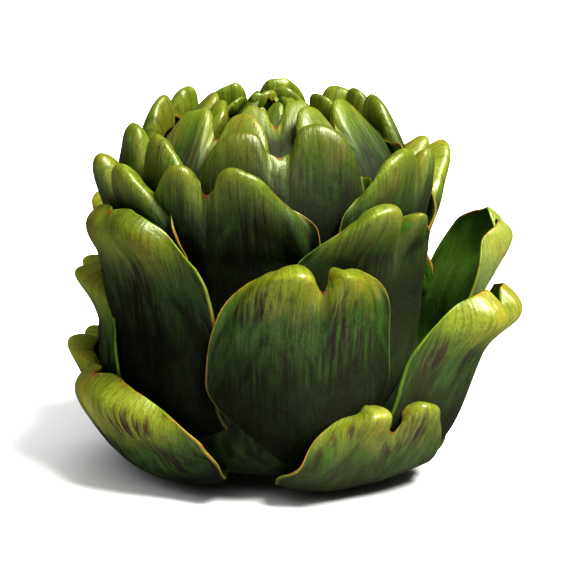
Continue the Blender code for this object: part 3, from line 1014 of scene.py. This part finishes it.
@dataclass(frozen=True)
class StemFinish:
    """Ribbed green rind, and a cream cut face with a softer pith and a ring of fibre bundles.

    The edges are shares of the stem's radius.
    """

    rind: Colour = linear(104, 122, 62)
    rind_dark: Colour = linear(70, 88, 38)
    flesh: Colour = linear(206, 208, 158)
    pith: Colour = linear(226, 208, 160)
    bundle: Colour = linear(146, 142, 84)
    pith_edge: tuple[float, float] = (0.45, 0.6)
    ring_start: tuple[float, float] = (0.5, 0.6)
    ring_end: tuple[float, float] = (0.84, 0.9)
    rind_edge: tuple[float, float] = (0.93, 0.98)

    def material(self) -> bpy.types.Material:
        """Builds rind and cut face by height and by distance from the stem's axis.

        Returns:
            The material.
        """
        g = Graph("cut_stem")
        coordinates = g.tree.nodes.new("ShaderNodeTexCoord").outputs["Object"]
        split = g.tree.nodes.new("ShaderNodeSeparateXYZ")
        g.tree.links.new(coordinates, split.inputs[0])
        x, y, z = split.outputs
        radius = g.maths("SQRT", g.maths("ADD", g.times(x, x), g.times(y, y)))

        def beyond(edge: tuple[float, float]) -> Socket:
            """1 outside an edge of the cut face, and 0 inside it."""
            return g.step(radius, edge[0] * STEM_RADIUS, edge[1] * STEM_RADIUS)

        def within(edge: tuple[float, float]) -> Socket:
            """1 inside an edge of the cut face, and 0 outside it."""
            return g.step(radius, edge[0] * STEM_RADIUS, edge[1] * STEM_RADIUS, 1.0, 0.0)

        grain = g.noise(g.stretched(coordinates, 900.0, 900.0, 120.0), 1.0, 3.0)
        rind = g.mix(g.step(grain, 0.3, 0.7), self.rind_dark, self.rind)
        flesh = g.mix(beyond(self.pith_edge), self.pith, self.flesh)
        dots = g.step(g.cells(coordinates, 620.0), 0.12, 0.26, 1.0, 0.0)
        ring = g.times(beyond(self.ring_start), within(self.ring_end))
        flesh = g.mix(g.times(dots, ring, 0.7), flesh, self.bundle)
        cut = g.times(g.step(z, 0.5 * MM, 0.9 * MM, 1.0, 0.0), within(self.rind_edge))
        g.bump(grain, 0.15 * MM, 0.6)
        return g.dress(Base_Color=g.mix(cut, rind, flesh), Roughness=0.62)


@dataclass(frozen=True)
class Turned:
    """A body turned about the +Z axis, with its poles closed."""

    name: str
    segments: int = 168

    def angles(self) -> Array:
        """The turn of each segment, in radians."""
        return np.linspace(0.0, 2.0 * math.pi, self.segments, endpoint=False)

    def build(self, radius: Array, height: Array, ripple: Array | None = None) -> bpy.types.Object:
        """Turns a profile that starts and ends on the axis, top to bottom.

        Args:
            radius: The profile's radii, first and last 0.
            height: The profile's heights.
            ripple: A factor on the radius for each ring and segment, or None.

        Returns:
            The object.
        """
        turn = self.angles()
        rings = radius[1:-1, None] * (1.0 if ripple is None else ripple[1:-1])
        x, y = rings * np.cos(turn), rings * np.sin(turn)
        z = np.broadcast_to(height[1:-1, None], x.shape)
        poles = [[0.0, 0.0, height[0]], [0.0, 0.0, height[-1]]]
        points = np.concatenate([np.stack([x, y, z], axis=-1).reshape(-1, 3), poles])
        count = len(radius) - 2
        ids = np.arange(count * self.segments).reshape(count, self.segments)
        after = np.roll(ids, -1, axis=1)
        sides = np.stack([ids[:-1], ids[1:], after[1:], after[:-1]], axis=-1).reshape(-1, 4).tolist()
        top, bottom = count * self.segments, count * self.segments + 1
        caps = [(top, a, b) for a, b in zip(ids[0], after[0])]
        caps += [(bottom, b, a) for a, b in zip(ids[-1], after[-1])]
        return new_mesh_object(self.name, points, sides + caps)


@dataclass(frozen=True)
class Receptacle:
    """The fleshy core that the bracts grow from."""

    form: HeadForm
    angles: tuple[float, ...] = (28.0, 60.0, 110.0, 150.0, 180.0)
    depths: tuple[float, ...] = (5.0 * MM, 8.5 * MM, 14.0 * MM, 14.0 * MM, 9.0 * MM)
    underside_radius: float = 14.5 * MM

    def build(self, underside: float) -> bpy.types.Object:
        """Turns the core down to its flat underside, just over the stem."""
        angle = np.linspace(180.0, self.angles[0], 40)
        r, z, _, _ = self.form.layer(angle, np.interp(angle, self.angles, self.depths))
        radius = np.concatenate([[0.0], r[1:], [self.underside_radius, 0.5 * self.underside_radius, 0.0]])
        height = np.concatenate([z, [underside] * 3])
        return Turned("receptacle").build(radius, height)


@dataclass(frozen=True)
class CutStem:
    """The ribbed stub of stem under the head, cut flat across."""

    radius: float = STEM_RADIUS
    ribs: int = 14
    rib_height: float = 0.7 * MM
    ribbed_from: float = 0.55
    side_rings: int = 12
    rounding: float = 0.5 * MM
    hollow: float = 0.25 * MM

    def build(self, top: float) -> bpy.types.Object:
        """Turns the stub: its radius swells by the cosine of ribs times turn, and its cut face sinks a little.

        Args:
            top: The height of its top.

        Returns:
            The object.
        """
        bend = np.radians(np.linspace(0.0, 90.0, 6))
        side = np.linspace(top - self.rounding, self.rounding, self.side_rings)
        face = np.linspace(1.0, 0.0, 12)[1:]
        radius = np.concatenate(
            [
                self.radius * np.linspace(0.0, 0.9, 5),
                self.radius - self.rounding * (1.0 - np.sin(bend)),
                np.full(self.side_rings, self.radius),
                self.radius - self.rounding * (1.0 - np.cos(bend)),
                (self.radius - self.rounding) * face,
            ]
        )
        height = np.concatenate(
            [
                np.full(5, top),
                top - self.rounding * (1.0 - np.cos(bend)),
                side,
                self.rounding * (1.0 - np.sin(bend)),
                self.hollow * (1.0 - face**4),
            ]
        )
        keep = np.concatenate([[True], np.hypot(np.diff(radius), np.diff(height)) > 1e-6])
        radius, height = radius[keep], height[keep]
        stub = Turned("stem_stub")
        share = smoothstep(radius, self.ribbed_from * self.radius, self.radius)[:, None]
        ripple = 1.0 + self.rib_height / self.radius * share * np.cos(self.ribs * stub.angles())
        return stub.build(radius, height, ripple)


def direction(azimuth: float, elevation: float) -> Vector:
    """Gives the way to a place in the sky.

    Args:
        azimuth: Degrees from the front, growing towards +X.
        elevation: Degrees above the floor.

    Returns:
        The unit vector that points there.
    """
    turn, rise = math.radians(azimuth), math.radians(elevation)
    flat = math.cos(rise)
    return Vector((math.sin(turn) * flat, -math.cos(turn) * flat, math.sin(rise)))


class LightRole(Enum):
    """What a light does."""

    KEY = "key"
    OVERHEAD = "overhead"
    FILL = "fill"
    BACK = "back"


@dataclass(frozen=True)
class SoftLight:
    """A distant soft light, as broad in the sky as a large softbox."""

    role: LightRole
    azimuth: float
    elevation: float
    breadth: float
    strength: float
    colour: Colour = (1.0, 1.0, 1.0)

    def build(self) -> None:
        """Hangs the light so that it shines down from its azimuth and elevation."""
        light = bpy.data.lights.new(f"light_{self.role.value}", "SUN")
        light.angle, light.energy, light.color = math.radians(self.breadth), self.strength, self.colour
        away = direction(self.azimuth, self.elevation)
        lamp = bpy.data.objects.new(light.name, light)
        lamp.location = away
        lamp.visible_glossy = self.role is LightRole.KEY
        lamp.rotation_euler = (-away).to_track_quat("-Z", "Y").to_euler()
        bpy.context.scene.collection.objects.link(lamp)


@dataclass(frozen=True)
class Studio:
    """A plain pale floor, soft light and the camera."""

    target: tuple[float, float, float] = (0.003, 0.0, 0.0505)
    azimuth: float = 0.0
    elevation: float = 15.0
    distance: float = 0.8
    lens: float = 184.0
    nearest: float = 0.05
    floor_side: float = 16.0
    floor_colour: Colour = (0.85, 0.85, 0.85)
    sky: float = 0.1
    lights: tuple[SoftLight, ...] = (
        SoftLight(LightRole.KEY, 54.0, 57.0, 24.0, 6.2, (1.0, 0.985, 0.95)),
        SoftLight(LightRole.OVERHEAD, 20.0, 78.0, 80.0, 1.3),
        SoftLight(LightRole.FILL, -62.0, 40.0, 50.0, 0.7, (0.97, 0.99, 1.0)),
        SoftLight(LightRole.BACK, 160.0, 55.0, 40.0, 0.7),
    )

    def build(self) -> None:
        """Lays the floor, hangs the lights and sets the camera."""
        self._floor()
        world = bpy.data.worlds.new("studio")
        world.use_nodes = True
        background = world.node_tree.nodes["Background"]
        background.inputs["Color"].default_value = (1.0, 1.0, 1.0, 1.0)
        background.inputs["Strength"].default_value = self.sky
        bpy.context.scene.world = world
        for light in self.lights:
            light.build()
        self._camera(Vector(self.target))
        bpy.context.scene.view_settings.view_transform = "Standard"
        bpy.context.scene.view_settings.look = "High Contrast"

    def _floor(self) -> None:
        """Lays a wide flat floor at the height that the stem stands on."""
        half = self.floor_side / 2.0
        corners = np.array([[-half, -half, 0.0], [half, -half, 0.0], [half, half, 0.0], [-half, half, 0.0]])
        floor = new_mesh_object("floor", corners, [(0, 1, 2, 3)])
        floor.data.materials.append(Graph("pale_floor").dress(Base_Color=self.floor_colour, Roughness=0.6))
        floor.visible_glossy = False

    def _camera(self, target: Vector) -> None:
        """Sets the camera at the photograph's viewing angle."""
        away = direction(self.azimuth, self.elevation)
        camera = bpy.data.objects.new("camera", bpy.data.cameras.new("camera"))
        camera.data.lens = self.lens
        camera.data.clip_start = self.nearest
        camera.location = target + self.distance * away
        camera.rotation_euler = (-away).to_track_quat("-Z", "Y").to_euler()
        bpy.context.scene.collection.objects.link(camera)
        bpy.context.scene.camera = camera


@dataclass
class Artichoke:
    """The whole head: receptacle, bracts and stem."""

    form: HeadForm = field(default_factory=HeadForm)
    blade: BladeForm = field(default_factory=BladeForm)
    stem_gap: float = 0.3 * MM

    def build(self) -> None:
        """Builds every piece, dresses it and sets it in place of its node."""
        _, stem_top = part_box("stem")
        head_low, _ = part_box("head")
        LOG.info("stem top %.1f mm, head from %.1f mm", stem_top.z / MM, head_low.z / MM)
        self._finish(CutStem().build(stem_top.z), "stem", StemFinish().material())
        underside = stem_top.z + self.stem_gap
        self._finish(Receptacle(self.form).build(underside), "head", ReceptacleFlesh().material())
        skin = BractSkin().material()
        crowding = Crowding(self.form.widest_level)
        for place in Spiral(self.form).places():
            bract = Bract(place, self.form, self.blade)
            bract.lay(crowding)
            self._finish(bract.build(), "head", skin)

    def _finish(self, piece: bpy.types.Object, node: str, material: bpy.types.Material) -> None:
        """Gives a piece its material, parents it to the root body, and hides the node that it stands for."""
        piece.data.materials.append(material)
        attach(piece, "root")
        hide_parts(node)
        LOG.info("%s: %d faces", piece.name, len(piece.data.polygons))


def main() -> None:
    """Loads the frame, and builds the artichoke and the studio."""
    logging.basicConfig(level=logging.INFO, format="%(message)s")
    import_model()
    Artichoke().build()
    Studio().build()


if __name__ == "__main__":
    main()
